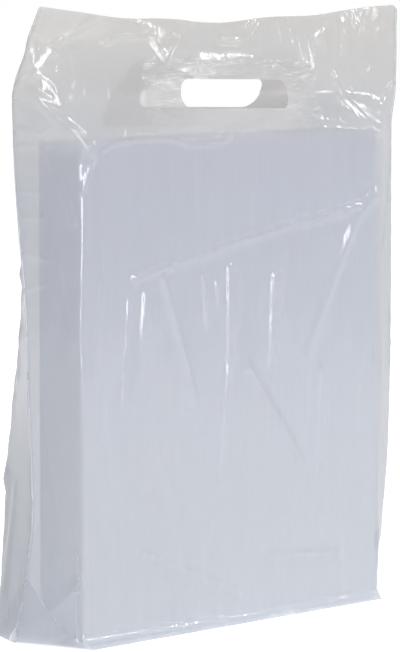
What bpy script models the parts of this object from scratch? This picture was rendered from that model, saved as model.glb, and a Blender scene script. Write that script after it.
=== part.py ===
"""Plastic carrier bag with a die-cut handle, standing on its bottom gusset.

One tube of thin polyethylene film, welded flat down both sides, with a gusset folded into
the bottom and a reinforcing patch welded inside each panel round the hand slot.
A light block stands in the bag and holds it open.
X runs along the bag, Y from front (-) to back (+), Z up. Metres.
"""
import math

import bmesh
import bpy
import numpy as np
from mathutils import Matrix, Vector

MM = 0.001

# The bag as it leaves the bag machine, laid flat
FLAT_WIDTH = 380 * MM
BAG_LENGTH = 450 * MM
GUSSET = 48 * MM
FILM = 0.4 * MM
WELD_WIDTH = 2.4 * MM

# Hand slot and the patch round it
SLOT_LENGTH = 112 * MM
SLOT_HEIGHT = 20 * MM
SLOT_DROP = 60 * MM
SLOT_TILT = math.radians(1.5)
PATCH_LENGTH = 178 * MM
PATCH_HEIGHT = 50 * MM
PATCH_FILM = 0.4 * MM
PATCH_CORNER = 14 * MM

# The block that fills the bag
CONTENT_WIDTH = 296 * MM
CONTENT_DEPTH = 42 * MM
CONTENT_BELOW_PATCH = 1.7 * MM
CONTENT_FRONT = -38 * MM
CONTENT_EDGE = 1.5 * MM

# Fits
CLEARANCE = 0.3 * MM
CLOSED_GAP = 0.8 * MM

# Heights on the standing bag
TAKE_UP = 21 * MM
MOUTH_Z = BAG_LENGTH - TAKE_UP
MOUTH_DIP = 10 * MM
SLOT_Z = MOUTH_Z - SLOT_DROP
CLOSING_Z = MOUTH_Z - 25 * MM
FLARE_Z = 7 * MM
PATCH_FOOT_Z = SLOT_Z - 0.5 * PATCH_HEIGHT - 0.5 * PATCH_LENGTH * math.sin(SLOT_TILT)
CONTENT_HEIGHT = PATCH_FOOT_Z - CONTENT_BELOW_PATCH
TOP_Z = CONTENT_HEIGHT + CLEARANCE

# Planes and half widths that the film takes from the block
HUG_FRONT = CONTENT_FRONT - CLEARANCE - FILM
HUG_BACK = CONTENT_FRONT + CONTENT_DEPTH + CLEARANCE + FILM
HUG_SIDE = CONTENT_WIDTH / 2 + CLEARANCE + FILM + CONTENT_EDGE
HALF_FLAT = FLAT_WIDTH / 2
SPARE_FILM = HALF_FLAT - HUG_SIDE
HALF_CLOSED = FILM + CLOSED_GAP / 2

# Grid of the film: columns in each stretch of a section, and rows
SIDE_COLUMNS = 5
FRONT_COLUMNS = 28
BACK_COLUMNS = 16
TOP_ROW = 9.5 * MM
LOW_ROW = 28 * MM


def smooth_keys(keys, z):
    """Value at height z of a smooth curve through (height, value) keys, without overshoot."""
    heights, values = (np.array(column, float) for column in zip(*keys))
    slopes = np.diff(values) / np.diff(heights)
    tangents = np.zeros_like(values)
    tangents[0], tangents[-1] = slopes[0], slopes[-1]
    before, after = slopes[:-1], slopes[1:]
    turning = before * after <= 0
    safe = np.where(turning, 1.0, before + after)
    tangents[1:-1] = np.where(turning, 0.0, 2 * before * after / safe)
    z = min(max(z, heights[0]), heights[-1])
    i = min(int(np.searchsorted(heights, z, side="right")) - 1, len(slopes) - 1)
    width = heights[i + 1] - heights[i]
    t = (z - heights[i]) / width
    return float(
        (2 * t**3 - 3 * t**2 + 1) * values[i]
        + (t**3 - 2 * t**2 + t) * width * tangents[i]
        + (3 * t**2 - 2 * t**3) * values[i + 1]
        + (t**3 - t**2) * width * tangents[i + 1]
    )


# Shares of the spare film by which each weld stands short of the flat half width, and the
# weld's depth, by height. The gusset pinches the welds in at the foot; they swing at the mouth.
LEFT_INSET = ((0, 0.63), (GUSSET, 0.48), (0.3 * TOP_Z, 0.38), (0.63 * TOP_Z, 0.23),
              (TOP_Z, 0.10), (SLOT_Z, 0.08), (CLOSING_Z, 0.15), (MOUTH_Z, 0.18))
LEFT_DEPTH = ((0, 12 * MM), (GUSSET, -7 * MM), (0.3 * TOP_Z, -17 * MM), (0.63 * TOP_Z, -18 * MM),
              (TOP_Z, -12 * MM), (SLOT_Z, -12 * MM), (CLOSING_Z, -23 * MM), (MOUTH_Z, -34 * MM))
RIGHT_INSET = ((0, 0.68), (GUSSET, 0.58), (0.3 * TOP_Z, 0.40), (0.63 * TOP_Z, 0.25),
               (TOP_Z, 0.20), (SLOT_Z, 0.08), (MOUTH_Z, 0.03))
RIGHT_DEPTH = ((0, -8 * MM), (GUSSET, -27 * MM), (0.63 * TOP_Z, -24 * MM), (MOUTH_Z, -21 * MM))

# Corners of the front panel: they follow the block, then run out into the closed mouth
FRONT_LEFT_X = ((0, -HUG_SIDE), (TOP_Z, -HUG_SIDE), (SLOT_Z, -156 * MM),
                (CLOSING_Z, -166 * MM), (MOUTH_Z, -166 * MM))
FRONT_LEFT_Y = ((0, -GUSSET - 1 * MM), (FLARE_Z, HUG_FRONT), (TOP_Z, HUG_FRONT),
                (SLOT_Z, -34 * MM), (CLOSING_Z, -24 * MM), (MOUTH_Z, -33 * MM))
FRONT_RIGHT_X = ((0, HUG_SIDE), (TOP_Z, HUG_SIDE), (SLOT_Z, 126 * MM),
                 (CLOSING_Z, 129 * MM), (MOUTH_Z, 131 * MM))
FRONT_RIGHT_Y = ((0, -GUSSET + 4 * MM), (FLARE_Z, HUG_FRONT), (TOP_Z, HUG_FRONT),
                 (SLOT_Z, -25 * MM), (CLOSING_Z, -23 * MM), (MOUTH_Z, -20.5 * MM))
# Bulge of each panel between its corners, positive outwards
FRONT_BULGE = ((0, 0), (TOP_Z, 0), (SLOT_Z, 18 * MM), (SLOT_Z + 16 * MM, 15 * MM),
               (CLOSING_Z, 0), (MOUTH_Z, -6 * MM))

# Corners of the back panel, which leans from the gusset's rear fold to the top of the block
BACK_LEFT_X = ((0, -HUG_SIDE), (TOP_Z, -HUG_SIDE), (SLOT_Z, -154 * MM), (MOUTH_Z, -166 * MM))
BACK_RIGHT_X = ((0, HUG_SIDE), (TOP_Z, HUG_SIDE), (SLOT_Z, 130 * MM), (MOUTH_Z, 131 * MM))
BACK_LEFT_Y = ((0, GUSSET - 2 * MM), (0.3 * TOP_Z, 36 * MM), (0.63 * TOP_Z, 21 * MM),
               (TOP_Z, HUG_BACK + 2 * MM), (SLOT_Z, -6 * MM), (CLOSING_Z, -20 * MM), (MOUTH_Z, -30 * MM))
BACK_RIGHT_Y = ((0, GUSSET - 2 * MM), (0.3 * TOP_Z, 36 * MM), (0.63 * TOP_Z, 21 * MM),
                (TOP_Z, HUG_BACK + 2 * MM), (SLOT_Z, -19 * MM), (MOUTH_Z, -19 * MM))
BACK_BULGE = ((0, 0), (0.3 * TOP_Z, 8 * MM), (TOP_Z, 8 * MM), (SLOT_Z, 12 * MM),
              (CLOSING_Z, 0), (MOUTH_Z, 0))
# Share of the space between the panels that is left as they close towards the mouth
APART = ((SLOT_Z, 1), (SLOT_Z + 0.6 * PATCH_HEIGHT, 0.45), (CLOSING_Z + 5 * MM, 0), (MOUTH_Z, 0))

# Tension folds pulled into the panels: start and end (x, z), height and half width. In front
# they fan from the left weld to the block's corner, gather the closed mouth and cross the block.
FRONT_FOLDS = (
    ((-183 * MM, 379 * MM), (-136 * MM, 330 * MM), 5.5 * MM, 11 * MM),
    ((-186 * MM, 364 * MM), (-150 * MM, 282 * MM), 3.5 * MM, 8 * MM),
    ((-187 * MM, 380 * MM), (-156 * MM, 404 * MM), 3.5 * MM, 8 * MM),
    ((-162 * MM, 402 * MM), (-112 * MM, 431 * MM), 3.0 * MM, 8 * MM),
    ((-122 * MM, 408 * MM), (-60 * MM, 392 * MM), 3.0 * MM, 8 * MM),
    ((-3 * MM, 426 * MM), (-6 * MM, 400 * MM), 3.0 * MM, 9 * MM),
    ((14 * MM, 400 * MM), (40 * MM, 424 * MM), 3.0 * MM, 9 * MM),
    ((122 * MM, 432 * MM), (134 * MM, 388 * MM), 3.5 * MM, 9 * MM),
    ((134 * MM, 398 * MM), (112 * MM, 370 * MM), 3.0 * MM, 9 * MM),
    ((114 * MM, 374 * MM), (150 * MM, 334 * MM), 3.5 * MM, 9 * MM),
    ((-106 * MM, 244 * MM), (20 * MM, 270 * MM), 3.0 * MM, 10 * MM),
    ((0 * MM, 265 * MM), (138 * MM, 290 * MM), 3.2 * MM, 10 * MM),
    ((146 * MM, 298 * MM), (92 * MM, 222 * MM), 3.6 * MM, 11 * MM),
    ((100 * MM, 232 * MM), (66 * MM, 172 * MM), 2.6 * MM, 11 * MM),
    ((-5 * MM, 252 * MM), (-12 * MM, 110 * MM), 2.4 * MM, 10 * MM),
    ((-74 * MM, 250 * MM), (-36 * MM, 150 * MM), 2.4 * MM, 10 * MM),
    ((40 * MM, 246 * MM), (42 * MM, 170 * MM), 2.0 * MM, 10 * MM),
    ((-106 * MM, 244 * MM), (-110 * MM, 156 * MM), 2.0 * MM, 10 * MM),
)
BACK_FOLDS = (
    ((-186 * MM, 380 * MM), (-128 * MM, 322 * MM), 5.0 * MM, 14 * MM),
    ((186 * MM, 380 * MM), (128 * MM, 322 * MM), 5.0 * MM, 14 * MM),
    ((-148 * MM, 100 * MM), (-20 * MM, 250 * MM), 3.5 * MM, 20 * MM),
    ((148 * MM, 270 * MM), (24 * MM, 180 * MM), 3.5 * MM, 20 * MM),
)


def fold_height(x, z, folds):
    """Outward lift of a panel at (x, z): a rounded ridge along each fold."""
    lift = 0.0
    for start, end, height, half_width in folds:
        a, b, p = np.array(start), np.array(end), np.array((x, z))
        along = float(np.dot(p - a, b - a) / np.dot(b - a, b - a))
        if not 0 < along < 1:
            continue
        run, away = b - a, p - a
        across = abs(float(run[0] * away[1] - run[1] * away[0])) / float(np.linalg.norm(run))
        if across < half_width:
            ridge = math.cos(math.pi * across / half_width / 2) ** 2
            lift += height * math.sin(math.pi * along) ** 0.6 * ridge
    return lift


def stretch(start, end, bulge, columns):
    """Points from start towards end, without end, bowed sideways by bulge."""
    start, end = np.array(start), np.array(end)
    along = end - start
    side = np.array((along[1], -along[0])) / np.linalg.norm(along)
    steps = np.arange(columns) / columns
    return [start + along * t + side * bulge * math.sin(math.pi * t) for t in steps]


def film_section(z):
    """Outer faces of the film's front and back panels at height z, from left weld to right."""
    left = (SPARE_FILM * smooth_keys(LEFT_INSET, z) - HALF_FLAT, smooth_keys(LEFT_DEPTH, z))
    right = (HALF_FLAT - SPARE_FILM * smooth_keys(RIGHT_INSET, z), smooth_keys(RIGHT_DEPTH, z))
    front_left = (smooth_keys(FRONT_LEFT_X, z), smooth_keys(FRONT_LEFT_Y, z))
    front_right = (smooth_keys(FRONT_RIGHT_X, z), smooth_keys(FRONT_RIGHT_Y, z))
    back_left = (smooth_keys(BACK_LEFT_X, z), smooth_keys(BACK_LEFT_Y, z))
    back_right = (smooth_keys(BACK_RIGHT_X, z), smooth_keys(BACK_RIGHT_Y, z))

    front = stretch(left, front_left, 0, SIDE_COLUMNS)
    front += stretch(front_left, front_right, smooth_keys(FRONT_BULGE, z), FRONT_COLUMNS)
    front += stretch(front_right, right, 0, SIDE_COLUMNS) + [np.array(right)]
    back = stretch(left, back_left, 0, SIDE_COLUMNS)
    back += stretch(back_left, back_right, -smooth_keys(BACK_BULGE, z), BACK_COLUMNS)
    back += stretch(back_right, right, 0, SIDE_COLUMNS) + [np.array(right)]
    front, back = np.array(front), np.array(back)

    if z > SLOT_Z:
        behind = np.interp(back[:, 0], front[:, 0], front[:, 1])
        back[:, 1] = behind + (back[:, 1] - behind) * smooth_keys(APART, z)
    middle = np.interp(back[:, 0], front[:, 0], front[:, 1])
    back[:, 1] += np.clip(2 * HALF_CLOSED - (back[:, 1] - middle), 0, None)
    front[1:-1, 1] -= [fold_height(x, z, FRONT_FOLDS) for x in front[1:-1, 0]]
    back[1:-1, 1] += [fold_height(x, z, BACK_FOLDS) for x in back[1:-1, 0]]

    # Four layers of film meet in the weld beside the gusset, two above it
    weld = 2 * FILM if z < GUSSET else FILM
    for side in (0, -1):
        front[side], back[side] = front[side] - (0, weld), front[side] + (0, weld)
    return front, back


def inner_section(z, depth=FILM):
    """Both panels moved inwards by depth, with their ends at the inner side of the welds."""
    front, back = film_section(z)
    inner = []
    for half, direction in ((front, 1), (back, -1)):
        tangent = np.gradient(half, axis=0)
        normal = np.column_stack((-tangent[:, 1], tangent[:, 0]))
        normal /= np.linalg.norm(normal, axis=1)[:, None]
        inner.append(half + direction * depth * normal)
    for side, beside in ((0, 1), (-1, -2)):
        tip = (front[side] + back[side]) / 2
        middle = (inner[0][beside] + inner[1][beside]) / 2
        inward = (middle - tip) / np.linalg.norm(middle - tip)
        for half, offset in zip(inner, (-CLOSED_GAP / 2, CLOSED_GAP / 2)):
            half[side] = tip + inward * WELD_WIDTH + (0, offset)
    return inner


def mouth_dip(x):
    """How far the mouth's edge lies under its corners at x, with the edge's slow waves."""
    across = 1 - (x / HALF_FLAT) ** 2
    return MOUTH_DIP * max(across, 0) ** 1.5 * (1 + 0.12 * math.cos(x / (17 * MM)))


def raised(points, z):
    """Section points as 3D points: above the slot each row sags towards the mouth's dip."""
    sink = max(z - SLOT_Z, 0) / (MOUTH_Z - SLOT_Z)
    return [(x, y, z - sink * mouth_dip(x)) for x, y in points]


def film_rows(bottom):
    """Row heights: close together over the shaped top, wide down the block."""
    dense_from = 0.66 * TOP_Z
    low = np.linspace(GUSSET, dense_from, round((dense_from - GUSSET) / LOW_ROW) + 1)
    top = np.linspace(dense_from, MOUTH_Z, round((MOUTH_Z - dense_from) / TOP_ROW) + 1)
    return [bottom, FLARE_Z, 0.5 * GUSSET, *low, *top[1:]]


def add_strip(mesh, lower, upper):
    """Faces between two rows of vertices, every pair of triangles split the same way."""
    for a, b, c, d in zip(lower, lower[1:], upper[1:], upper):
        mesh.faces.new((a, b, c))
        mesh.faces.new((a, c, d))


def loft_wall(mesh, sections, rows):
    """Open tube through the sections, closed underneath; returns its rings."""
    rings = []
    for z in rows:
        front, back = sections(max(z, 0))
        rings.append([mesh.verts.new(p) for p in raised(front, z) + raised(back[::-1], z)])
    for lower, upper in zip(rings, rings[1:]):
        add_strip(mesh, lower + lower[:1], upper + upper[:1])
    close_ring(mesh, rings[0])
    return rings


def close_ring(mesh, ring):
    """Flat faces from a ring's front points to its back points, left to right."""
    split = 2 * SIDE_COLUMNS + FRONT_COLUMNS + 1
    front, back = ring[:split], ring[split:][::-1]
    i = j = 0
    while i < len(front) - 1 or j < len(back) - 1:
        from_front = j == len(back) - 1 or (
            i < len(front) - 1 and front[i + 1].co.x <= back[j + 1].co.x)
        if from_front:
            mesh.faces.new((front[i], back[j], front[i + 1]))
            i += 1
        else:
            mesh.faces.new((front[i], back[j], back[j + 1]))
            j += 1


def finish(name, mesh):
    """Turn a bmesh into an object in the scene, with outward faces."""
    bmesh.ops.recalc_face_normals(mesh, faces=mesh.faces)
    data = bpy.data.meshes.new(name)
    mesh.to_mesh(data)
    mesh.free()
    result = bpy.data.objects.new(name, data)
    bpy.context.scene.collection.objects.link(result)
    return result


def material(name, colour, roughness):
    made = bpy.data.materials.new(name)
    made.use_nodes = True
    shader = made.node_tree.nodes["Principled BSDF"]
    shader.inputs["Base Color"].default_value = (*colour, 1)
    shader.inputs["Roughness"].default_value = roughness
    shader.inputs["Metallic"].default_value = 0
    return made


def cut(target, tool, operation="DIFFERENCE"):
    """Apply a Boolean with tool to target, then remove the tool."""
    boolean = target.modifiers.new("cut", "BOOLEAN")
    boolean.operation = operation
    boolean.solver = "EXACT"
    boolean.object = tool
    bpy.context.view_layer.objects.active = target
    bpy.ops.object.modifier_apply(modifier=boolean.name)
    bpy.data.objects.remove(tool, do_unlink=True)


def rounded_bar(name, length, height, corner, reach):
    """Prism along Y with a rounded oblong outline, tilted with the slot, at the slot."""
    steps = 6
    mesh = bmesh.new()
    outline = []
    for quarter, (sx, sz) in enumerate(((1, 1), (-1, 1), (-1, -1), (1, -1))):
        cx, cz = sx * (length / 2 - corner), sz * (height / 2 - corner)
        for k in range(steps + 1):
            angle = (quarter + k / steps) * math.pi / 2
            outline.append(mesh.verts.new((cx + corner * math.cos(angle), 0, cz + corner * math.sin(angle))))
    face = mesh.faces.new(outline)
    moved = bmesh.ops.extrude_face_region(mesh, geom=[face])
    verts = [v for v in moved["geom"] if isinstance(v, bmesh.types.BMVert)]
    bmesh.ops.translate(mesh, verts=verts, vec=(0, reach, 0))
    tilt = Matrix.Rotation(-SLOT_TILT, 4, "Y")
    bmesh.ops.transform(mesh, matrix=Matrix.Translation((2 * MM, -reach / 2, SLOT_Z)) @ tilt, verts=mesh.verts)
    return finish(name, mesh)


def slot_tool():
    return rounded_bar("slot_tool", SLOT_LENGTH, SLOT_HEIGHT, 0.48 * SLOT_HEIGHT, 4 * GUSSET)


def gusset_end(side):
    """Inner corners of one end of the gusset: two on the floor, weld foot and weld top."""
    end = 0 if side < 0 else -1
    front_corner = SIDE_COLUMNS if side < 0 else -SIDE_COLUMNS - 1
    foot_front, foot_back = inner_section(0)
    top_front, top_back = inner_section(GUSSET)
    front = Vector((*foot_front[front_corner], 0))
    back = Vector((*foot_back[front_corner], 0))
    foot = Vector((*(foot_front[end] + foot_back[end]) / 2, 0))
    top = Vector((*(top_front[end] + top_back[end]) / 2, GUSSET))
    return front, back, foot, top


def slice_end(mesh, side, offset, keep_outer):
    """Cut a mesh along the gusset's rising end and close the cut.

    The plane runs from the floor corners to the weld's top, moved outwards by offset.
    """
    front, back, _, top = gusset_end(side)
    normal = (back - front).cross(top - front).normalized()
    if normal.x * side < 0:
        normal = -normal
    everything = [*mesh.verts, *mesh.edges, *mesh.faces]
    sliced = bmesh.ops.bisect_plane(
        mesh, geom=everything, dist=0.01 * MM, plane_co=front + normal * offset, plane_no=normal,
        clear_outer=not keep_outer, clear_inner=keep_outer)
    rim = [e for e in sliced["geom_cut"] if isinstance(e, bmesh.types.BMEdge)]
    bmesh.ops.triangle_fill(mesh, edges=rim, use_beauty=True)


def ear_recess(side):
    """Hollow under the gusset's rising end, open downwards between the folded walls."""
    mesh = bmesh.new()
    rows = (-GUSSET / 2, 0, FLARE_Z, 0.5 * GUSSET, 0.75 * GUSSET, GUSSET - 4 * FILM)
    rings = loft_wall(mesh, lambda z: inner_section(z, 2.5 * FILM), rows)
    close_ring(mesh, rings[-1])
    slice_end(mesh, side, 1.5 * FILM, keep_outer=True)
    return finish("ear_recess", mesh)


def make_film_bag():
    """The bag itself: film wall, floor, side welds, gusset ends and the slot."""
    mesh = bmesh.new()
    inside = loft_wall(mesh, inner_section, film_rows(FILM))
    for side in (-1, 1):
        slice_end(mesh, side, 0, keep_outer=False)
    outside = loft_wall(mesh, film_section, film_rows(0))
    lip, edge = inside[-1], outside[-1]
    add_strip(mesh, lip + lip[:1], edge + edge[:1])
    bag = finish("film_bag", mesh)
    for side in (-1, 1):
        cut(bag, ear_recess(side))
    cut(bag, slot_tool())
    bag.data.materials.append(material("polyethylene_film", (0.72, 0.74, 0.76), 0.25))
    return bag


def make_patch(name, half):
    """Reinforcing film welded inside one panel round the slot; half 0 is the front."""
    reach = 0.5 * PATCH_HEIGHT + 2 * TOP_ROW
    heights = [z for z in film_rows(0) if abs(z - SLOT_Z) < reach]
    mesh = bmesh.new()
    layers = []
    for depth in (FILM + CLEARANCE, FILM + CLEARANCE + PATCH_FILM):
        panel = [raised(inner_section(z, depth)[half], z) for z in heights]
        middle = panel[len(panel) // 2]
        columns = [i for i, p in enumerate(middle) if abs(p[0]) < 0.5 * PATCH_LENGTH + 26 * MM]
        columns = columns[::-1] if half else columns
        layers.append([[mesh.verts.new(row[i]) for i in columns] for row in panel])
    near, far = layers
    for grid in layers:
        for lower, upper in zip(grid, grid[1:]):
            add_strip(mesh, lower, upper)
    for edge in (lambda g: g[0], lambda g: g[-1],
                 lambda g: [row[0] for row in g], lambda g: [row[-1] for row in g]):
        add_strip(mesh, edge(near), edge(far))
    patch = finish(name, mesh)
    outline = rounded_bar("outline", PATCH_LENGTH, PATCH_HEIGHT, PATCH_CORNER, 4 * GUSSET)
    cut(patch, outline, "INTERSECT")
    cut(patch, slot_tool())
    patch.data.materials.append(material(name + "_film", (0.74, 0.74, 0.73), 0.3))
    return patch


def make_filler_block():
    """Foam block standing in the front of the bag."""
    mesh = bmesh.new()
    bmesh.ops.create_cube(mesh, size=1)
    bmesh.ops.scale(mesh, vec=(CONTENT_WIDTH, CONTENT_DEPTH, CONTENT_HEIGHT - FILM - CLEARANCE), verts=mesh.verts)
    bmesh.ops.bevel(mesh, geom=mesh.edges, offset=CONTENT_EDGE, segments=2, profile=0.5, affect="EDGES")
    block = finish("filler_block", mesh)
    block.location = (0, CONTENT_FRONT + CONTENT_DEPTH / 2, (CONTENT_HEIGHT + FILM + CLEARANCE) / 2)
    block.data.materials.append(material("white_foam", (0.88, 0.89, 0.92), 0.8))
    return block


for old in list(bpy.data.objects):
    bpy.data.objects.remove(old, do_unlink=True)
make_film_bag()
make_patch("handle_patch_front", 0)
make_patch("handle_patch_back", 1)
make_filler_block()
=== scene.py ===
"""Plastic carrier bag with a die-cut handle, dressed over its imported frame.

X runs along the bag, Y from front (-) to back (+), Z up. Shapes are worked out in millimetres
and become metres when a mesh is made.
"""
import math

import bpy
import numpy as np
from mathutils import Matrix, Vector


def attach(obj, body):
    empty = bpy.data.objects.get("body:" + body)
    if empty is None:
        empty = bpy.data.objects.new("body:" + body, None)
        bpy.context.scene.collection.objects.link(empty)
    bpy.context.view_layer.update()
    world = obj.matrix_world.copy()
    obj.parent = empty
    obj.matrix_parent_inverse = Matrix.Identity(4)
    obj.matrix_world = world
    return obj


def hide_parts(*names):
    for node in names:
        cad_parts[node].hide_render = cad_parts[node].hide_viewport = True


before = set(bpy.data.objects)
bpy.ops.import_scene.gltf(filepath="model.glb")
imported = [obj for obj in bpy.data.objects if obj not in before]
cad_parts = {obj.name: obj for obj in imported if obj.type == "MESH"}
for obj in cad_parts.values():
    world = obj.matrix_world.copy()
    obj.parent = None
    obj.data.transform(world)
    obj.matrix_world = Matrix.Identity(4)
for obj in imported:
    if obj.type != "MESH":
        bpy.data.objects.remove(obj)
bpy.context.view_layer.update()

# Film of the bag
# One blown tube of low-density polyethylene, welded down both sides and folded into a gusset
# at the bottom. The thin film clings to the block, hangs in ridges from the block's corners
# and closes on itself above the hand slot.
MM = 0.001
HALF_FLAT = 190.0
GUSSET = 48.0
MOUTH = 429.0
MOUTH_DIP = 10.0
SLOT_X, SLOT_Z = 2.0, 369.0
SLOT_TILT = math.radians(1.5)
CLOSING = 404.0
BLOCK_TOP = 340.3
BLOCK_SIDE = 150.2
BLOCK_FRONT = -38.7
BLOCK_BACK = 4.7
SPARE_FILM = HALF_FLAT - BLOCK_SIDE
CLOSED_GAP = 1.4
# Rounded oblongs round the slot's middle: half length, half height and corner radius
SLOT_OUTLINE = (56.0, 10.0, 9.6)
PATCH_OUTLINE = (88.0, 24.0, 12.0)
HEAT_OUTLINE = (87.0, 24.0, 12.0)

# Plan of the film as (height, value) keys: how far the side welds are drawn in, as a share of
# the spare film, and their depth; then the corners and the bulge of the front and the back
LEFT_INSET = ((0, 0.63), (GUSSET, 0.48), (0.3 * BLOCK_TOP, 0.38), (0.63 * BLOCK_TOP, 0.23),
              (BLOCK_TOP, 0.10), (SLOT_Z, 0.08), (CLOSING, 0.15), (MOUTH, 0.18))
LEFT_DEPTH = ((0, 12), (GUSSET, -7), (0.3 * BLOCK_TOP, -17), (0.63 * BLOCK_TOP, -18),
              (BLOCK_TOP, -12), (SLOT_Z, -12), (CLOSING, -23), (MOUTH, -34))
RIGHT_INSET = ((0, 0.68), (GUSSET, 0.58), (0.3 * BLOCK_TOP, 0.40), (0.63 * BLOCK_TOP, 0.25),
               (BLOCK_TOP, 0.20), (SLOT_Z, 0.08), (MOUTH, 0.03))
RIGHT_DEPTH = ((0, -8), (GUSSET, -27), (0.63 * BLOCK_TOP, -24), (MOUTH, -21))

FRONT_LEFT_X = ((0, -BLOCK_SIDE), (BLOCK_TOP - 10, -BLOCK_SIDE), (SLOT_Z, -172),
                (CLOSING, -180), (MOUTH, -176))
FRONT_LEFT_Y = ((0, -GUSSET - 1), (7, BLOCK_FRONT), (BLOCK_TOP, BLOCK_FRONT), (SLOT_Z, -26),
                (CLOSING, -24), (MOUTH, -33))
FRONT_RIGHT_X = ((0, BLOCK_SIDE), (BLOCK_TOP, BLOCK_SIDE), (SLOT_Z, 126),
                 (CLOSING, 129), (MOUTH, 131))
FRONT_RIGHT_Y = ((0, -GUSSET + 4), (7, BLOCK_FRONT), (BLOCK_TOP, BLOCK_FRONT), (SLOT_Z, -25),
                 (CLOSING, -23), (MOUTH, -20.5))
FRONT_BULGE = ((0, 0), (BLOCK_TOP, 0), (SLOT_Z - 4, 14), (SLOT_Z + 4, 13.8),
               (SLOT_Z + 14, 11.8), (SLOT_Z + 24, 8.8), (SLOT_Z + 34, 5.6), (CLOSING + 14, 1),
               (MOUTH, -3))

BACK_LEFT_X = ((0, -BLOCK_SIDE), (BLOCK_TOP, -BLOCK_SIDE), (SLOT_Z, -154), (MOUTH, -166))
BACK_RIGHT_X = ((0, BLOCK_SIDE), (BLOCK_TOP, BLOCK_SIDE), (SLOT_Z, 130), (MOUTH, 131))
BACK_SLOPE = ((0, GUSSET - 2), (0.3 * BLOCK_TOP, 36), (0.63 * BLOCK_TOP, 21),
              (BLOCK_TOP, BLOCK_BACK + 2))
BACK_LEFT_Y = BACK_SLOPE + ((SLOT_Z, -6), (CLOSING, -20), (MOUTH, -30))
BACK_RIGHT_Y = BACK_SLOPE + ((SLOT_Z, -19), (MOUTH, -19))
BACK_BULGE = ((0, 0), (0.3 * BLOCK_TOP, 8), (BLOCK_TOP, 8), (SLOT_Z, 12),
              (CLOSING, 0), (MOUTH, 0))
# Share of the way that the back panel keeps from the front one, down to none in the mouth
APART = ((SLOT_Z, 1), (SLOT_Z + 30, 0.45), (CLOSING + 5, 0), (MOUTH, 0))


def curve(keys, z):
    """Smooth curve through (height, value) keys, without overshoot, at an array of heights."""
    heights, values = (np.array(column, float) for column in zip(*keys))
    slopes = np.diff(values) / np.diff(heights)
    tangents = np.zeros_like(values)
    tangents[0], tangents[-1] = slopes[0], slopes[-1]
    before, after = slopes[:-1], slopes[1:]
    turning = before * after <= 0
    harmonic = 2 * before * after / np.where(turning, 1, before + after)
    tangents[1:-1] = np.where(turning, 0, harmonic)
    z = np.clip(z, heights[0], heights[-1])
    i = np.clip(np.searchsorted(heights, z, side="right") - 1, 0, len(slopes) - 1)
    width = heights[i + 1] - heights[i]
    t = (z - heights[i]) / width
    return ((2 * t**3 - 3 * t**2 + 1) * values[i] + (t**3 - 2 * t**2 + t) * width * tangents[i]
            + (3 * t**2 - 2 * t**3) * values[i + 1] + (t**3 - t**2) * width * tangents[i + 1])


def stretch(start, end, bulge, columns):
    """Points in every row from start towards end, bowed sideways: rows x columns x 2."""
    along = end - start
    side = np.stack((along[:, 1], -along[:, 0]), -1) / np.linalg.norm(along, axis=1)[:, None]
    t = (np.arange(columns) / columns)[None, :, None]
    bow = side[:, None] * bulge[:, None, None] * np.sin(np.pi * t)
    return start[:, None] + along[:, None] * t + bow


def corner_line(x_keys, y_keys, z):
    """Place in the plan of one vertical edge at every height."""
    return np.stack((curve(x_keys, z), curve(y_keys, z)), -1)


SIDE_COLUMNS = 22
FRONT_COLUMNS = 178
BACK_COLUMNS = 70


def panel_sections(z):
    """Plan of the front and the back panel at every height, from the left weld to the right."""
    left_x = SPARE_FILM * curve(LEFT_INSET, z) - HALF_FLAT
    right_x = HALF_FLAT - SPARE_FILM * curve(RIGHT_INSET, z)
    left = np.stack((left_x, curve(LEFT_DEPTH, z)), -1)
    right = np.stack((right_x, curve(RIGHT_DEPTH, z)), -1)
    flat = np.zeros(len(z))
    panels = []
    for left_x_keys, left_y_keys, right_x_keys, right_y_keys, bulge, columns in (
            (FRONT_LEFT_X, FRONT_LEFT_Y, FRONT_RIGHT_X, FRONT_RIGHT_Y,
             curve(FRONT_BULGE, z), FRONT_COLUMNS),
            (BACK_LEFT_X, BACK_LEFT_Y, BACK_RIGHT_X, BACK_RIGHT_Y,
             -curve(BACK_BULGE, z), BACK_COLUMNS)):
        corner_a = corner_line(left_x_keys, left_y_keys, z)
        corner_b = corner_line(right_x_keys, right_y_keys, z)
        panels.append(np.concatenate((
            stretch(left, corner_a, flat, SIDE_COLUMNS),
            stretch(corner_a, corner_b, bulge, columns),
            stretch(corner_b, right, flat, SIDE_COLUMNS), right[:, None]), axis=1))
    front, back = panels
    apart = curve(APART, z)
    for i, height in enumerate(z):
        behind = np.interp(back[i, :, 0], front[i, :, 0], front[i, :, 1])
        if height > SLOT_Z:
            back[i, :, 1] = behind + (back[i, :, 1] - behind) * apart[i]
        back[i, 1:-1, 1] += np.clip(CLOSED_GAP - (back[i, 1:-1, 1] - behind[1:-1]), 0, None)
    return front, back


def round_corners(panel, passes):
    """Soften a panel's folds by moving each point towards the middle of its neighbours."""
    for _ in range(passes):
        panel[:, 1:-1] = (panel[:, :-2] + 2 * panel[:, 1:-1] + panel[:, 2:]) / 4


def ease(value, low, high):
    """0 below low, 1 above high and smooth between them."""
    t = np.clip((value - low) / (high - low), 0, 1)
    return t * t * (3 - 2 * t)


def slacken(panel, rows, passes):
    """Round the front film's corners widely above the block, where nothing holds them out."""
    soft = panel.copy()
    round_corners(soft, passes)
    panel += (soft - panel) * ease(rows, BLOCK_TOP - 16, BLOCK_TOP + 6)[:, None, None]


def mouth_dip(x):
    """How far the mouth hangs below its corners: deepest in the middle, in slow waves."""
    across = np.clip(1 - (x / HALF_FLAT) ** 2, 0, 1)
    return MOUTH_DIP * across**1.5 * (1 + 0.12 * np.cos(x / 17))


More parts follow.
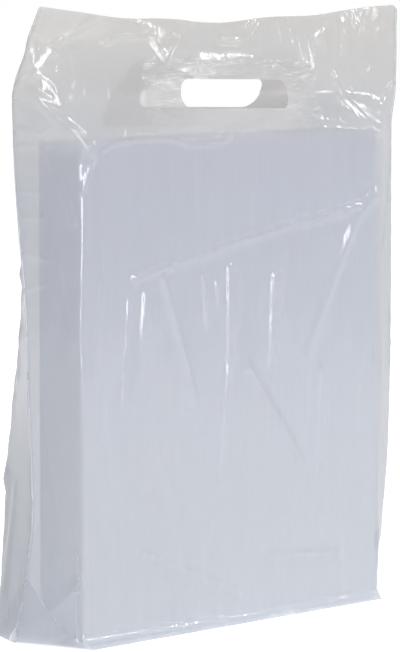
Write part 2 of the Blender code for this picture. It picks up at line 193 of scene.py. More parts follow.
def mouth_sag(x, z):
    """How far the row of height z hangs below that height, from none at the slot."""
    return np.clip(z - SLOT_Z, 0, None) / (MOUTH - SLOT_Z) * mouth_dip(x)


def row_height(x, z):
    """Height of the row that passes through (x, z), the reverse of the sag."""
    share = mouth_dip(x) / (MOUTH - SLOT_Z)
    return np.where(z > SLOT_Z, (z - SLOT_Z * share) / (1 - share), z)


def lattice(x, z, size_x, size_z, seed):
    """Smooth random field from -1 to 1 with lumps of the given size in mm."""
    table = np.random.RandomState(seed).uniform(-1, 1, (64, 64))
    # The offsets keep the table's indices positive all over the bag
    u, v = x / size_x + 200.37, z / size_z + 100.71
    i, j = np.floor(u).astype(int), np.floor(v).astype(int)
    s, t = u - i, v - j
    s, t = s * s * (3 - 2 * s), t * t * (3 - 2 * t)
    low = table[i % 64, j % 64] * (1 - s) + table[(i + 1) % 64, j % 64] * s
    high = table[i % 64, (j + 1) % 64] * (1 - s) + table[(i + 1) % 64, (j + 1) % 64] * s
    return low * (1 - t) + high * t


def crease_lift(x, z, creases):
    """Lift of the film at (x, z): along each crease two flat facets meet in a sharp ridge.

    A crease is a line of (x, z) points, the facets' slope, and their width at its two ends.
    """
    lift = np.zeros_like(x)
    for line, slope, width_a, width_b in creases:
        count = len(line) - 1
        ridge = np.zeros_like(x)
        for k, ((x0, z0), (x1, z1)) in enumerate(zip(line, line[1:])):
            dx, dz = x1 - x0, z1 - z0
            along = np.clip(((x - x0) * dx + (z - z0) * dz) / (dx * dx + dz * dz), 0, 1)
            away = np.hypot(x - x0 - dx * along, z - z0 - dz * along)
            share = (k + along) / count
            ridge = np.maximum(ridge, width_a + (width_b - width_a) * share - away)
        lift += slope * ridge
    return lift


# Creases: each a line of (x, z) points, the slope of its facets and its width at both ends
FRONT_CREASES = (
    # Fan from the left weld to the block's corner
    (((-186, 379), (-163, 401)), 0.50, 1.5, 2.5),
    (((-183, 378), (-142, 333)), 0.42, 1.5, 9.0),
    (((-185, 366), (-177, 352), (-163, 322), (-154, 286)), 0.50, 2.5, 2.5),
    (((-184, 380), (-173, 386), (-163, 380), (-158, 368), (-181, 377)), 0.45, 2.0, 2.0),
    # Folds in the closed mouth
    (((-163, 401), (-142, 402), (-120, 403), (-108, 412)), 0.40, 2.0, 2.5),
    (((-117, 406), (-99, 409), (-73, 409)), 0.35, 2.0, 2.5),
    (((-70, 409), (-62, 394), (-48, 408)), 0.50, 4.0, 4.0),
    (((-160, 404), (-117, 429)), 0.25, 4.0, 6.0),
    (((-4, 421), (-4, 405), (17, 404), (37, 419)), 0.45, 2.5, 3.0),
    (((125, 432), (131, 395), (117, 373)), 0.35, 3.0, 3.0),
    (((133, 430), (170, 386)), 0.45, 2.5, 1.5),
    (((108, 427), (110, 424)), 0.50, 3.0, 2.0),
    (((106, 411), (96, 405)), 0.50, 2.0, 3.0),
    # Line along the block's top
    (((-130, 334), (-122, 338), (-93, 341), (-64, 340), (-45, 335), (-20, 335),
      (-5, 339), (-20, 342)), 0.50, 2.0, 2.2),
    # Long line over the front and the right diagonal
    (((-99, 247), (-70, 253)), 0.60, 3.2, 2.2),
    (((-60, 255), (50, 275), (128, 286)), 0.55, 2.0, 3.0),
    (((-98, 247), (50, 275), (131, 286)), 0.10, 4.0, 7.0),
    (((144, 293), (124, 276), (97, 228), (71, 180)), 0.28, 8.0, 4.0),
    # Upright wrinkles
    (((-104, 236), (-107, 200)), 0.36, 2.8, 2.8),
    (((-107, 200), (-110, 162)), 0.24, 3.0, 3.0),
    (((-89, 236), (-94, 178)), 0.28, 3.4, 3.0),
    (((-72, 246), (-57, 209), (-39, 156)), 0.32, 3.6, 3.6),
    (((-31, 245), (-29, 212)), 0.34, 4.0, 3.0),
    (((-18, 240), (-17, 224)), 0.40, 3.0, 2.5),
    (((-6, 248), (-6, 184), (-14, 104)), 0.32, 4.0, 4.0),
    (((2, 246), (0, 186)), 0.32, 3.4, 3.0),
    (((39, 241), (36, 176)), 0.32, 4.0, 3.6),
    (((47, 243), (44, 190)), 0.32, 3.2, 3.0),
    (((89, 172), (86, 96)), 0.26, 4.0, 3.0),
    # Slanting wrinkles down to the foot
    (((13, 178), (46, 137), (72, 102)), 0.26, 5.0, 4.0),
    (((-92, 58), (2, 20)), 0.16, 6.0, 6.0),
    (((34, 42), (106, 37)), 0.16, 6.0, 6.0),
    # Round the block's upper corners and the patch's right end
    (((-148, 308), (-136, 332)), 0.35, 3.0, 3.0),
    (((118, 372), (146, 338)), 0.25, 5.0, 4.0),
    (((108, 350), (118, 358), (121, 370), (115, 381)), 0.45, 1.5, 2.0),
    # Slanting fold over the gusset end
    (((-169, 3), (-159, 25), (-150, 46)), 0.35, 2.5, 4.0),
    # Left side film: short cross wrinkles, then two upright ones
    (((-184, 350), (-172, 347)), 0.50, 2.0, 1.0),
    (((-184, 338), (-174, 339)), 0.50, 2.0, 1.0),
    (((-184, 310), (-172, 306)), 0.50, 2.0, 1.0),
    (((-184, 292), (-170, 290)), 0.40, 2.0, 1.5),
    (((-184, 268), (-168, 262)), 0.40, 2.0, 1.5),
    (((-183, 242), (-170, 246)), 0.40, 2.0, 1.5),
    (((-182, 214), (-168, 216)), 0.40, 2.0, 1.5),
    (((-179, 168), (-166, 160)), 0.40, 2.0, 1.5),
    (((-166, 286), (-156, 200)), 0.25, 2.0, 3.0),
    (((-170, 150), (-158, 60)), 0.25, 2.0, 3.0),
    # Right side film
    (((184, 372), (150, 338)), 0.35, 2.0, 5.0),
    (((184, 330), (158, 250)), 0.30, 2.0, 3.0),
)
BACK_CREASES = (
    (((-184, 378), (-140, 332)), 0.40, 2.0, 9.0),
    (((184, 378), (140, 332)), 0.40, 2.0, 9.0),
    (((-160, 250), (-60, 300), (60, 296)), 0.22, 8.0, 8.0),
    (((-150, 110), (-90, 180), (-30, 260)), 0.22, 10.0, 8.0),
    (((150, 262), (90, 230), (34, 180)), 0.24, 10.0, 8.0),
    (((-110, 334), (0, 328), (100, 334)), 0.30, 4.0, 4.0),
    (((22, 300), (12, 220), (16, 120)), 0.22, 8.0, 8.0),
    (((82, 200), (95, 60)), 0.20, 8.0, 6.0),
    (((-90, 170), (-100, 50)), 0.20, 8.0, 6.0),
    (((-160, 110), (-154, 30)), 0.35, 2.0, 4.0),
    (((-60, 60), (30, 40)), 0.20, 8.0, 8.0),
    (((-183, 340), (-160, 260), (-158, 180)), 0.30, 2.0, 4.0),
)


def slot_axes(x, z):
    """Place of (x, z) along and across the slot, which hangs slightly tilted."""
    u = (x - SLOT_X) * math.cos(SLOT_TILT) - (z - SLOT_Z) * math.sin(SLOT_TILT)
    v = (x - SLOT_X) * math.sin(SLOT_TILT) + (z - SLOT_Z) * math.cos(SLOT_TILT)
    return u, v


def slot_distance(x, z, half_length, half_height, corner):
    """Distance in mm outside a rounded oblong round the slot's middle; negative inside it."""
    u, v = slot_axes(x, z)
    qx, qz = np.abs(u) - (half_length - corner), np.abs(v) - (half_height - corner)
    outside = np.hypot(np.clip(qx, 0, None), np.clip(qz, 0, None))
    return outside + np.minimum(np.maximum(qx, qz), 0) - corner


def heat_share(x, z):
    """1 in the heat-shrunk film round the slot, easing to 0 at the patch's outline."""
    return 1 - ease(slot_distance(x, z, *HEAT_OUTLINE), -2, 3)


def front_lift(x, z):
    """How far in mm the front film stands out from its plain shape at (x, z)."""
    top = ease(z, 336, 352)
    left = ease(-x, 140, 156)
    over_block = (1 - top) * (1 - left)
    lift = crease_lift(x, z, FRONT_CREASES)
    # Slack waves above the block
    lift += top * (0.15 * lattice(x, z, 46, 30, seed=3)
                   + 0.05 * lattice(x + z, z - x, 22, 14, seed=4))
    # Upright folds of the left side film
    lift += left * (0.5 * lattice(x, z, 9, 40, seed=5) + 0.12 * lattice(x, z, 5, 14, seed=6))
    # Long upright stretch marks where the film lies on the block
    stretched = 0.6 * lattice(x, z, 16, 70, seed=7)
    lift += over_block * np.clip(
        0.3 + stretched + 0.35 * lattice(x, z, 8, 34, seed=8), -0.1, 2)
    # Fine crumple at the left shoulder and right of the slot
    lift += left * ease(z, 322, 340) * 0.22 * lattice(x + z, z - x, 5, 5, seed=12)
    lift += (ease(x, 96, 126) * ease(z, 336, 350) * 0.16
             * lattice(x + z, z - x, 6, 6, seed=13))
    # Pucker along the side welds
    weld = np.exp(-(HALF_FLAT - np.abs(x) - 6) / 7)
    lift += 0.7 * np.clip(weld, 0, 1) * lattice(x * 0.4, z, 9, 7, seed=9)
    lift += heat_share(x, z) * (0.55 * lattice(x, z, 26, 4.5, seed=10)
                                + 0.35 * lattice(x, z, 9, 4, seed=11))
    return lift


def back_lift(x, z):
    """How far in mm the back film stands out from its plain shape at (x, z)."""
    lift = crease_lift(x, z, BACK_CREASES)
    lift += (0.9 * lattice(x, z, 34, 60, seed=21)
             + 0.5 * lattice(x + z, z - x, 18, 14, seed=22))
    return lift + heat_share(x, z) * (0.4 * lattice(x, z, 24, 4.5, seed=23)
                                      + 0.2 * lattice(x, z, 9, 5, seed=24))


LEFT_RISE, RISE_WIDTH = 2.2, 25
CORNER_DROP, CORNER_WIDTH = 3.2, 5


def shape_panel(plan, rows, outward, lift):
    """Points of a panel: its plan raised to its rows, sagged and lifted along its normals.

    The mouth rises a little towards its left end, and both its corners are rounded.
    """
    x, y = plan[..., 0], plan[..., 1]
    hem = np.clip((rows[:, None] - SLOT_Z) / (MOUTH - SLOT_Z), 0, 1)
    to_weld = np.minimum(x - x[:, :1], x[:, -1:] - x)
    z = rows[:, None] - mouth_sag(x, rows[:, None])
    z += hem * (LEFT_RISE * np.exp(-(x - x[:, :1]) / RISE_WIDTH)
                - CORNER_DROP * np.clip(1 - to_weld / CORNER_WIDTH, 0, 1) ** 2)
    points = np.stack((x, y, z), -1)
    across, upward = np.gradient(points, axis=1), np.gradient(points, axis=0)
    normal = np.cross(across, upward)
    normal /= np.linalg.norm(normal, axis=2)[..., None]
    normal *= np.sign(normal[..., 1:2] * outward + 1e-9)
    # The welds stay in line and the foot nearly so
    fade = np.ones_like(x)
    fade[:, 0] = fade[:, -1] = 0
    fade[0] *= 0.3
    return points + normal * (lift(x, z) * fade)[..., None]


def on_panel(points, rows, x, z):
    """Points of a shaped panel that lie over the given x and z."""
    found = []
    for px, pz, row in zip(x, z, row_height(x, z)):
        v = np.interp(row, rows, np.arange(len(rows)))
        below = min(int(v), len(rows) - 2)
        line = points[below] * (1 - v + below) + points[below + 1] * (v - below)
        found.append([px, np.interp(px, line[:, 0], line[:, 1]), pz])
    return np.array(found)


def nearest_outline(x, z, half_length, half_height, corner):
    """Closest points on a rounded oblong outline round the slot's middle."""
    u, v = slot_axes(x, z)
    core_u = np.clip(u, corner - half_length, half_length - corner)
    core_v = np.clip(v, corner - half_height, half_height - corner)
    reach = np.maximum(np.hypot(u - core_u, v - core_v), 1e-6)
    u, v = core_u + (u - core_u) * corner / reach, core_v + (v - core_v) * corner / reach
    return (u * math.cos(SLOT_TILT) + v * math.sin(SLOT_TILT) + SLOT_X,
            v * math.cos(SLOT_TILT) - u * math.sin(SLOT_TILT) + SLOT_Z)


# Half size of the window that the ring of faces round the slot fills
WINDOW_X, WINDOW_Z = 61, 16


def panel_faces(points, rows, flip):
    """Vertices and faces of a panel with the slot cut out and a ring of faces round it."""
    count_z, count_x = points.shape[:2]
    index = np.arange(count_z * count_x).reshape(count_z, count_x)
    middle = points[np.searchsorted(rows, SLOT_Z)]
    i0, i1 = np.searchsorted(middle[:, 0], (SLOT_X - WINDOW_X, SLOT_X + WINDOW_X))
    j0, j1 = np.searchsorted(rows, (SLOT_Z - WINDOW_Z, SLOT_Z + WINDOW_Z))
    faces = []
    for j in range(count_z - 1):
        for i in range(count_x - 1):
            if not (i0 <= i < i1 and j0 <= j < j1):
                faces.append((index[j, i], index[j, i + 1],
                              index[j + 1, i + 1], index[j + 1, i]))
    border = [index[j0, i] for i in range(i0, i1)] + [index[j, i1] for j in range(j0, j1)]
    border += [index[j1, i] for i in range(i1, i0, -1)]
    border += [index[j, i0] for j in range(j1, j0, -1)]
    flat = points.reshape(-1, 3)
    rim = flat[border]
    edge_x, edge_z = nearest_outline(rim[:, 0], rim[:, 2], *SLOT_OUTLINE)
    verts, loops = [flat], [np.array(border)]
    start = len(flat)
    for share in (0.4, 0.75, 1.0):
        x = rim[:, 0] + (edge_x - rim[:, 0]) * share
        z = rim[:, 2] + (edge_z - rim[:, 2]) * share
        verts.append(on_panel(points, rows, x, z))
        loops.append(np.arange(start, start + len(border)))
        start += len(border)
    for outer, inner in zip(loops, loops[1:]):
        for k in range(len(border)):
            n = (k + 1) % len(border)
            faces.append((outer[k], outer[n], inner[n], inner[k]))
    faces = [tuple(int(v) for v in (face[::-1] if flip else face)) for face in faces]
    return np.concatenate(verts), faces


def make_piece(name, points, faces, finish):
    """Mesh object from points in mm, smooth shaded, riding on the bag's one body."""
    data = bpy.data.meshes.new(name)
    data.from_pydata([tuple(p) for p in np.asarray(points) * MM], [], faces)
    data.update()
    data.polygons.foreach_set("use_smooth", np.ones(len(data.polygons), dtype=bool))
    data.materials.append(finish)
    piece = bpy.data.objects.new(name, data)
    bpy.context.scene.collection.objects.link(piece)
    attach(piece, "root")
    return piece


def linear(hex_colour):
    """sRGB hex colour as linear red, green, blue and alpha."""
    parts = [int(hex_colour[i:i + 2], 16) / 255 for i in (0, 2, 4)]
    return [p / 12.92 if p <= 0.04045 else ((p + 0.055) / 1.055) ** 2.4 for p in parts] + [1.0]


def add_node(tree, kind, inputs=None, **settings):
    """One node with its settings; an input given as a socket is linked, any other is set."""
    made = tree.nodes.new(kind)
    for key, value in settings.items():
        setattr(made, key, value)
    for key, value in (inputs or {}).items():
        if isinstance(value, bpy.types.NodeSocket):
            tree.links.new(value, made.inputs[key])
        else:
            made.inputs[key].default_value = value
    return made


def new_material(name):
    """Empty node material and its tree."""
    made = bpy.data.materials.new(name)
    made.use_nodes = True
    made.node_tree.nodes.clear()
    return made, made.node_tree


# Sizes in mm: the film's stretch lines, which run up the bag, and its broad unevenness
STRETCH_LINES = (5, 5, 40)
LUMP = 45


def film_material(name, tints, opacity, edge_opacity, roughness, wrinkle, depth, foot=-0.15):
    """Blown polyethylene film: milky, lets light through, glossy, with fine stretch lines.

    Tints are the colours it is given at the foot and at the mouth; the painted light and shade
    in some of them is noted where each film is made. Opacity is that of one layer seen square
    on, edge_opacity at a glancing angle, and foot the change at the foot: clearer where the
    film is stretched tight, hazier where it hangs slack. Wrinkle is the size of a wrinkle in mm
    along
    X, Y and Z, and depth the depth in mm of that fine relief.
    """
    made, tree = new_material(name)
    place = add_node(tree, "ShaderNodeTexCoord")
    fine = add_node(tree, "ShaderNodeMapping", {
        "Vector": place.outputs["Object"], "Scale": [1000 / size for size in wrinkle]})
    lines = add_node(tree, "ShaderNodeTexNoise", {
        "Vector": fine.outputs["Vector"], "Scale": 1.0, "Detail": 3.0, "Roughness": 0.55,
        "Distortion": 0.4})
    broad = add_node(tree, "ShaderNodeTexNoise", {
        "Vector": place.outputs["Object"], "Scale": 1000 / LUMP, "Detail": 2.0,
        "Roughness": 0.5})
    relief = add_node(tree, "ShaderNodeMath", {
        0: lines.outputs["Fac"], 1: broad.outputs["Fac"]}, operation="ADD")
    bump = add_node(tree, "ShaderNodeBump", {
        "Height": relief.outputs["Value"], "Strength": 0.6, "Distance": depth * MM})
    height = add_node(tree, "ShaderNodeSeparateXYZ", {"Vector": place.outputs["Object"]})
    rise = add_node(tree, "ShaderNodeMapRange", {
        "Value": height.outputs["Z"], "From Min": 0.30, "From Max": 0.42,
        "To Min": -0.2, "To Max": 0.8})
    drift = add_node(tree, "ShaderNodeMath", {
        0: broad.outputs["Fac"], 1: 0.4, 2: rise.outputs["Result"]},
        operation="MULTIPLY_ADD", use_clamp=True)
    tint = add_node(tree, "ShaderNodeMix", {
        "Factor": drift.outputs[0], "A": linear(tints[0]), "B": linear(tints[1])},
        data_type="RGBA")
    gloss = add_node(tree, "ShaderNodeMapRange", {
        "Value": lines.outputs["Fac"], "From Min": 0.3, "From Max": 0.7,
        "To Min": roughness - 0.04, "To Max": roughness + 0.06})
    body = add_node(tree, "ShaderNodeBsdfPrincipled", {
        "Base Color": tint.outputs["Result"], "Roughness": gloss.outputs["Result"], "IOR": 1.51,
        "Specular IOR Level": 0.25, "Normal": bump.outputs["Normal"]})
    glow = add_node(tree, "ShaderNodeBsdfTranslucent", {
        "Color": tint.outputs["Result"], "Normal": bump.outputs["Normal"]})
    milk = add_node(tree, "ShaderNodeMixShader", {
        0: 0.45, 1: body.outputs[0], 2: glow.outputs[0]})
    clear = add_node(tree, "ShaderNodeBsdfTransparent")
    facing = add_node(tree, "ShaderNodeLayerWeight", {"Blend": 0.35})
    slack = add_node(tree, "ShaderNodeMapRange", {
        "Value": height.outputs["Z"], "From Min": 0.02, "From Max": 0.35,
        "To Min": opacity + foot, "To Max": opacity + 0.04})
    seen = add_node(tree, "ShaderNodeMapRange", {
        "Value": facing.outputs["Facing"], "To Min": slack.outputs["Result"],
        "To Max": edge_opacity})
    cover = add_node(tree, "ShaderNodeMixShader", {
        0: seen.outputs["Result"], 1: clear.outputs[0], 2: milk.outputs[0]})
    shine = add_node(tree, "ShaderNodeBsdfGlossy", {
        "Color": linear("FFFFFF"), "Roughness": 0.09, "Normal": bump.outputs["Normal"]})
    # Mirror share of clear plastic: 8 % square on, rising steeply at a glancing angle
    grazing = add_node(tree, "ShaderNodeLayerWeight", {
        "Blend": 0.5, "Normal": bump.outputs["Normal"]})
    rising = add_node(tree, "ShaderNodeMath", {
        0: grazing.outputs["Facing"], 1: 5.0}, operation="POWER")
    mirror = add_node(tree, "ShaderNodeMath", {
        0: rising.outputs[0], 1: 0.25, 2: 0.08}, operation="MULTIPLY_ADD")
    surface = add_node(tree, "ShaderNodeMixShader", {
        0: mirror.outputs[0], 1: cover.outputs[0], 2: shine.outputs[0]})
    add_node(tree, "ShaderNodeOutputMaterial", {"Surface": surface.outputs[0]})
    return made


# Stretched over the front; slack at the back, which hangs free of the block, its darker tint at
# the foot painted shade; and shrunk by the heat round the slot into wrinkles that run across
polyethylene_film = film_material(
    "polyethylene_film", ("CCCFD5", "D0CECD"), 0.50, 0.96, 0.22, STRETCH_LINES, 0.5)
back_film_painted_shade = film_material(
    "slack_polyethylene_film_painted_shade", ("B8BCC4", "CFCDCA"), 0.54, 0.96, 0.22, STRETCH_LINES, 0.5, 0.20)
shrunk_film = film_material(
    "heat_shrunk_polyethylene_film", ("CCCFD5", "D2D0CF"), 0.52, 0.90, 0.16, (10, 10, 2.4), 1.6)

# Rows of the mesh: closer above 240 mm, where the finest creases are
film_rows = np.concatenate((
    [0, 3, 7], np.arange(10, 240, 3.0), np.arange(240, 426, 1.7), [427.4, MOUTH]))
front_plan, back_plan = panel_sections(film_rows)
round_corners(front_plan, passes=4)
slacken(front_plan, film_rows, passes=30)
round_corners(back_plan, passes=2)
front_points = shape_panel(front_plan, film_rows, -1, front_lift)
back_points = shape_panel(back_plan, film_rows, 1, back_lift)

front_mesh = panel_faces(front_points, film_rows, False)
back_mesh = panel_faces(back_points, film_rows, True)
skin_points = np.concatenate((front_mesh[0], back_mesh[0]))
skin_faces = front_mesh[1] + [
    tuple(v + len(front_mesh[0]) for v in face) for face in back_mesh[1]]
film_skin = make_piece("film_skin", skin_points, skin_faces, polyethylene_film)
film_skin.data.materials.append(back_film_painted_shade)
film_skin.data.materials.append(shrunk_film)
middles = np.array([skin_points[list(face)].mean(axis=0) for face in skin_faces])
shrunk = slot_distance(middles[:, 0], middles[:, 2], *PATCH_OUTLINE) < 0
on_back = np.arange(len(skin_faces)) >= len(front_mesh[1])
zone = np.where(shrunk, 2, np.where(on_back, 1, 0))
film_skin.data.polygons.foreach_set("material_index", zone.astype(np.int32))
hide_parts("film_bag")

# Bottom of the bag
# The same film, spread flat on the floor where the gusset opens, with a slope folded up at
# each end to the side weld.
def grid_faces(rows, columns, closed=False):
    """Faces of points laid row by row; closed joins the end of each row to its start."""
    return [(j * columns + i, j * columns + (i + 1) % columns,
             (j + 1) * columns + (i + 1) % columns, (j + 1) * columns + i)
            for j in range(rows - 1) for i in range(columns if closed else columns - 1)]


def sheet_between(edge_a, edge_b, steps):
    """Grid of points from one edge line to another, with its faces."""
    grid = np.stack([edge_a + (edge_b - edge_a) * t for t in np.linspace(0, 1, steps + 1)])
    return grid.reshape(-1, 3), grid_faces(*grid.shape[:2])


def base_parts():
    """The flat floor of the bag and the two rising gusset ends."""
    front_line = front_points[0, SIDE_COLUMNS:-SIDE_COLUMNS]
    back_line = np.zeros((len(front_line), 3))
    back_line[:, 0] = np.linspace(
        back_points[0, SIDE_COLUMNS, 0], back_points[0, -SIDE_COLUMNS - 1, 0], len(front_line))
    back_line[:, 1] = np.interp(back_line[:, 0], back_points[0, :, 0], back_points[0, :, 1])
    parts = [sheet_between(front_line, back_line, steps=12)]
    top_row = int(np.searchsorted(film_rows, GUSSET))
    for end, corner in ((0, SIDE_COLUMNS), (-1, -SIDE_COLUMNS - 1)):
        tip = front_points[top_row, end]
        steps = np.linspace(0, 1, 13)[:, None]
        # The front edge is tucked back, so that it stays behind the wrinkled side film
        tuck = np.array((0, 1.0, 0)) * (4 * np.sin(np.pi * steps) + 10 * (1 - steps))
        edge_a = front_points[0, corner] * (1 - steps) + tip * steps + tuck
        edge_b = back_points[0, corner] * (1 - steps) + tip * steps
        parts.append(sheet_between(edge_a, edge_b, steps=10))
    return parts


# Folded double, so whiter than a single layer of the film; its bright bluish white is partly
# painted light, the light the folded gusset end catches from above and off the floor
folded_film_painted_light = film_material(
    "folded_film_painted_light", ("F4F8FF", "F4F8FF"), 0.92, 0.95, 0.22, STRETCH_LINES, 0.5)
# The fold's foot runs between two values of x, its slanting edge through points (x, z)
EAR_FOOT = (169.0, 150.4)
EAR_EDGE = ((169, 6), (164, 16), (159, 25), (155.5, 35), (151, 41))
EAR_BEHIND = 1.2


def gusset_ear(side):
    """Part of the gusset that lies folded behind the side film, up to its slanting fold."""
    count = 9
    share = np.linspace(0, 1, count)
    spots = np.linspace(0, len(EAR_EDGE) - 1, count)
    edge_x, edge_z = (np.interp(spots, range(len(EAR_EDGE)), column)
                      for column in zip(*EAR_EDGE))
    foot_x = EAR_FOOT[0] + (EAR_FOOT[1] - EAR_FOOT[0]) * share
    x = side * (foot_x + (edge_x - foot_x) * share[:, None]).ravel()
    z = (1 + (edge_z - 1) * share[:, None]).ravel()
    points = on_panel(front_points, film_rows, x, z)
    points[:, 1] += EAR_BEHIND
    return points, grid_faces(count, count)


# The base stays this high, just clear of the floor
LOWEST = 0.2
base_points, base_faces, offset = [], [], 0
for points, faces in base_parts() + [gusset_ear(-1), gusset_ear(1)]:
    points = points.copy()
    points[:, 2] = np.clip(points[:, 2], LOWEST, None)
    base_points.append(points)
    base_faces += [tuple(v + offset for v in face) for face in faces]
    offset += len(points)
film_base = make_piece(
    "film_base", np.concatenate(base_points), base_faces, folded_film_painted_light)

# Side welds
# A hot wire melts the film's edges together into a stiff, shiny bead; beside the gusset it
# holds four layers and is thicker.
# The bead's bright bluish white towards the foot is partly painted light, the pale floor's
# light reflected in the bead
welded_film = film_material(
    "welded_film", ("F4F8FF", "E6E8EA"), 0.45, 0.75, 0.12, (3, 3, 6), 0.6, 0.4)
BEAD_SIDES = 8
BEAD_HALF_WIDTH, BEAD_SHIFT = 1.3, 1.1
BEAD_THICK, BEAD_THICK_AT_GUSSET = 0.45, 0.75


def weld_bead(end):
    """Flattened, slightly wavy tube along one side weld."""
    line = front_points[:, end]
    inward = np.array((1.0 if end == 0 else -1.0, 0, 0))
    thick = np.where(line[:, 2] < GUSSET, BEAD_THICK_AT_GUSSET, BEAD_THICK)
    wave = 0.35 * lattice(line[:, 2] * 0, line[:, 2], 9, 8, seed=31 + end)
    ring = []
    for k in range(BEAD_SIDES):
        angle = 2 * math.pi * k / BEAD_SIDES
        across = inward * (BEAD_SHIFT + BEAD_HALF_WIDTH * math.cos(angle))
        ring.append(line + across + np.stack(
            (wave * inward[0], thick * math.sin(angle), 0 * wave), -1))
    rows = len(line)
    faces = grid_faces(rows, BEAD_SIDES, closed=True)
    faces += [tuple(range(BEAD_SIDES - 1, -1, -1)),
              tuple((rows - 1) * BEAD_SIDES + k for k in range(BEAD_SIDES))]
    return np.stack(ring, 1).reshape(-1, 3), faces


for weld_name, end in (("side_weld_left", 0), ("side_weld_right", -1)):
    bead_points, bead_faces = weld_bead(end)
    make_piece(weld_name, bead_points, bead_faces, welded_film)

# Handle patches
# A sheet of the same film is heat-welded inside each panel round the slot. The heat shrinks
# it into fine wrinkles that run along the slot and sparkle.
PATCH_RINGS = 12
PATCH_COLUMNS = 280
PATCH_BEHIND = 0.6
# The front patch's tint is lighter than the bag's film: painted light, making up for the shade
# that falls inside the bag
patch_film = film_material(
    "heat_welded_film", ("F0EEEC", "F4F2F0"), 0.30, 0.80, 0.14, (14, 14, 2.2), 1.4)
# The back patch lies in the shade of the front one, so its film is greyer
shaded_patch_film = film_material(
    "heat_welded_film_back", ("CCC6BF", "D2CCC5"), 0.33, 0.80, 0.14, (14, 14, 2.2), 1.4)


def patch_sheet(panel_points, inward):
    """Ring-shaped sheet from the patch's outline in to the slot, just inside its panel."""
    # From points on a wide oval outside it, to the nearest ones on the patch's outline
    turn = np.linspace(0, 2 * math.pi, PATCH_COLUMNS, endpoint=False)
    far_x, far_z = SLOT_X + 200 * np.cos(turn), SLOT_Z + 60 * np.sin(turn)
    outer_x, outer_z = nearest_outline(far_x, far_z, *PATCH_OUTLINE)
    inner_x, inner_z = nearest_outline(outer_x, outer_z, *SLOT_OUTLINE)
    loops = []
    for share in np.linspace(0, 1, PATCH_RINGS):
        x, z = outer_x + (inner_x - outer_x) * share, outer_z + (inner_z - outer_z) * share
        loop = on_panel(panel_points, film_rows, x, z)
        loop[:, 1] += inward * (PATCH_BEHIND + 0.25 * lattice(x, z, 12, 4, seed=41))
        loops.append(loop)
    return np.concatenate(loops), grid_faces(PATCH_RINGS, PATCH_COLUMNS, closed=True)


for patch_name, panel_points, inward, node_name, finish in (
        ("patch_sheet_front", front_points, 1, "handle_patch_front", patch_film),
        ("patch_sheet_back", back_points, -1, "handle_patch_back", shaded_patch_film)):
    sheet_points, sheet_faces = patch_sheet(panel_points, inward)
    patch = make_piece(patch_name, sheet_points, sheet_faces, finish)
    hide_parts(node_name)

# Filler block
# A white polystyrene foam block, hot-wire cut, that stands in for what fills the bag. Its
# beads show as a faint mottle under the film.
FOAM_BEAD, MOTTLE = 4, 60
polystyrene_foam, tree = new_material("polystyrene_foam")
foam_place = add_node(tree, "ShaderNodeTexCoord")
beads = add_node(tree, "ShaderNodeTexVoronoi", {
    "Vector": foam_place.outputs["Object"], "Scale": 1000 / FOAM_BEAD})
mottle = add_node(tree, "ShaderNodeTexNoise", {
    "Vector": foam_place.outputs["Object"], "Scale": 1000 / MOTTLE, "Detail": 3.0})
foam_tint = add_node(tree, "ShaderNodeMix", {
    "Factor": mottle.outputs["Fac"], "A": linear("E4E7F4"), "B": linear("E9ECF8")},
    data_type="RGBA")
# Painted light: the block is made lighter towards its foot, for the light the white floor
# throws up onto it
foam_height = add_node(tree, "ShaderNodeSeparateXYZ", {"Vector": foam_place.outputs["Object"]})
foam_painted_floor_light = add_node(tree, "ShaderNodeMapRange", {
    "Value": foam_height.outputs["Z"], "From Min": 0.32, "From Max": 0.02})
foam_tone = add_node(tree, "ShaderNodeMix", {
    "Factor": foam_painted_floor_light.outputs["Result"], "A": foam_tint.outputs["Result"],
    "B": linear("F6F9FF")}, data_type="RGBA")
foam_bump = add_node(tree, "ShaderNodeBump", {
    "Height": beads.outputs["Distance"], "Strength": 0.25, "Distance": 0.0004})
foam_body = add_node(tree, "ShaderNodeBsdfPrincipled", {
    "Base Color": foam_tone.outputs["Result"], "Roughness": 0.8,
    "Normal": foam_bump.outputs["Normal"]})
add_node(tree, "ShaderNodeOutputMaterial", {"Surface": foam_body.outputs[0]})
for material_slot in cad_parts["filler_block"].material_slots:
    material_slot.material = polystyrene_foam

# Studio
# A white paper floor that runs out to a white background, softboxes in front and above, and
# the camera low in front of the bag's left side.
def seen_outright(tree):
    """1 for rays from the camera, off a mirror or through clear film, 0 for scattered light."""
    path = add_node(tree, "ShaderNodeLightPath")
    mirrored = add_node(tree, "ShaderNodeMath", {
        0: path.outputs["Is Camera Ray"], 1: path.outputs["Is Glossy Ray"]},
        operation="MAXIMUM")
    return add_node(tree, "ShaderNodeMath", {
        0: mirrored.outputs[0], 1: path.outputs["Is Transmission Ray"]},
        operation="MAXIMUM").outputs[0]


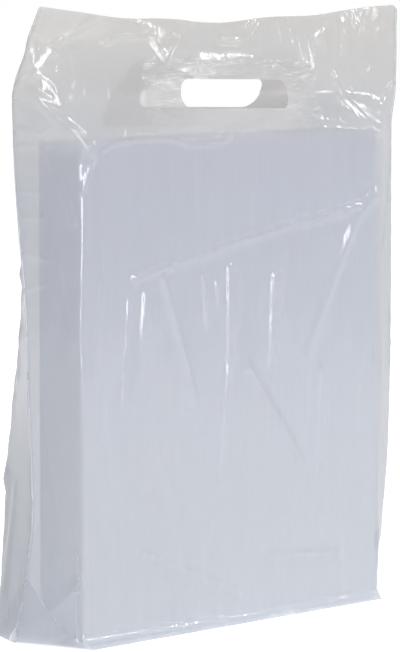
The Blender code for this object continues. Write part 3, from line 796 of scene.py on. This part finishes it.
# The paper glows white where it is seen, but only reflects light onto the bag
paper, tree = new_material("white_paper")
paper_body = add_node(tree, "ShaderNodeBsdfDiffuse", {"Color": linear("F4F4F4")})
paper_glow = add_node(tree, "ShaderNodeEmission", {"Color": linear("FFFFFF"), "Strength": 0.75})
paper_sum = add_node(tree, "ShaderNodeAddShader", {
    0: paper_body.outputs[0], 1: paper_glow.outputs[0]})
paper_seen = add_node(tree, "ShaderNodeMixShader", {
    0: seen_outright(tree), 1: paper_body.outputs[0], 2: paper_sum.outputs[0]})
add_node(tree, "ShaderNodeOutputMaterial", {"Surface": paper_seen.outputs[0]})
FLOOR_REACH, FLOOR_DROP = 8, 0.0005
floor_data = bpy.data.meshes.new("floor")
floor_data.from_pydata([(x * FLOOR_REACH, y * FLOOR_REACH, -FLOOR_DROP)
                        for x, y in ((-1, -1), (1, -1), (1, 1), (-1, 1))], [], [(0, 1, 2, 3)])
floor_data.materials.append(paper)
floor = bpy.data.objects.new("floor", floor_data)
bpy.context.scene.collection.objects.link(floor)

world = bpy.data.worlds.new("studio")
bpy.context.scene.world = world
world.use_nodes = True
tree = world.node_tree
tree.nodes.clear()
# White where it is seen, dimmer as a light
strength = add_node(tree, "ShaderNodeMapRange", {
    "Value": seen_outright(tree), "To Min": 0.32, "To Max": 1.0})
white = add_node(tree, "ShaderNodeBackground", {
    "Color": linear("FFFFFF"), "Strength": strength.outputs["Result"]})
add_node(tree, "ShaderNodeOutputWorld", {"Surface": white.outputs[0]})


LIT_POINT = Vector((0, 0, 0.25))


def softbox(name, place, width, height, watts):
    """Rectangular area light aimed at the bag's middle."""
    lamp = bpy.data.lights.new(name, "AREA")
    lamp.shape = "RECTANGLE"
    lamp.size, lamp.size_y, lamp.energy = width, height, watts
    holder = bpy.data.objects.new(name, lamp)
    holder.location = place
    holder.rotation_euler = (LIT_POINT - Vector(place)).to_track_quat("-Z", "Y").to_euler()
    bpy.context.scene.collection.objects.link(holder)


# Large boxes light the bag, from above, from behind and from the front
softbox("top_box", (-0.4, -0.8, 2.8), 2.6, 2.6, 11)
softbox("back_box", (0.4, 2.4, 1.6), 1.6, 1.2, 9)
softbox("back_strip", (-0.7, 2.0, 0.9), 0.3, 0.9, 5)
softbox("front_strip", (0.2, -2.0, 1.05), 0.4, 0.9, 7)
softbox("low_strip", (0.5, -2.0, 0.45), 0.36, 0.8, 5.5)
# Small ones show as glints along the creases whose facets turn towards them
softbox("spark_box", (1.6, -1.55, 0.55), 0.08, 0.08, 0.3)
softbox("front_high_box", (0.83, -1.07, 2.1), 0.2, 0.2, 2.5)
softbox("right_box", (1.44, -1.04, 1.48), 0.2, 0.2, 2.5)
softbox("low_right_box", (1.8, -0.9, 0.80), 0.14, 0.14, 1.0)
softbox("side_box", (1.9, -0.17, 1.4), 0.15, 0.15, 0.8)
# Low on the left, for the side film and the gusset end
softbox("left_box", (-2.0, 0.0, 0.6), 0.3, 0.3, 1.4)
softbox("camera_box", (-1.8, -1.2, 0.46), 0.3, 0.3, 1.0)

# Camera fitted to the photo: 46 degrees left of the front, 5 above level, with a long lens
AZIMUTH = math.radians(46)
ELEVATION = math.radians(5.2)
AIM_HEIGHT = 0.2033
AIM_RIGHT, AIM_UP = 0.0033, 0.0023
DISTANCE = 2.8045
FOCAL_PIXELS = 4000
LONG_SIDE_PIXELS = 652
to_right = Vector((math.cos(AZIMUTH), -math.sin(AZIMUTH), 0))
to_camera = Vector((-math.sin(AZIMUTH) * math.cos(ELEVATION),
                    -math.cos(AZIMUTH) * math.cos(ELEVATION), math.sin(ELEVATION)))
to_top = to_camera.cross(to_right)
aim = Vector((0, 0, AIM_HEIGHT)) + to_right * AIM_RIGHT + to_top * AIM_UP
lens = bpy.data.cameras.new("camera")
lens.sensor_width = 36
lens.lens = FOCAL_PIXELS * lens.sensor_width / LONG_SIDE_PIXELS
lens.clip_end = 50
camera = bpy.data.objects.new("camera", lens)
camera.location = aim + to_camera * DISTANCE
camera.rotation_euler = to_camera.to_track_quat("Z", "Y").to_euler()
bpy.context.scene.collection.objects.link(camera)
bpy.context.scene.camera = camera
bpy.context.scene.view_settings.view_transform = "Standard"
